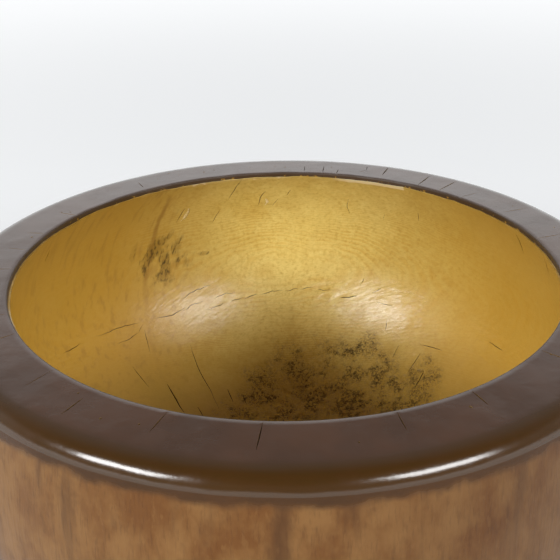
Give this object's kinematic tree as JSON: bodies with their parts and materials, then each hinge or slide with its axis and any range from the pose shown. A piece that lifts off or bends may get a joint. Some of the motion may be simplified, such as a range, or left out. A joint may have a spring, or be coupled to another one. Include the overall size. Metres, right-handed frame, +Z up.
{
  "type": "carved wooden bowl",
  "caption": "Deep round bowl carved from one log, with a swelling wall, a thick flat dark rim and a scraped golden inside.",
  "frame": {"origin": "centre of the flat base, on the surface the bowl stands on", "axes": "+Z up along the bowl's axis, out of its mouth; the bowl is round, so X and Y are free"},
  "size_m": [0.407, 0.407, 0.213],
  "materials": {
    "carved_wood": "hand-carved end-grain hardwood under clear lacquer: golden and finely ringed inside, dark brown and glossy on the rim, mottled brown outside"
  },
  "bodies": {
    "root": {"bowl": "carved_wood"}
  },
  "joints": []
}
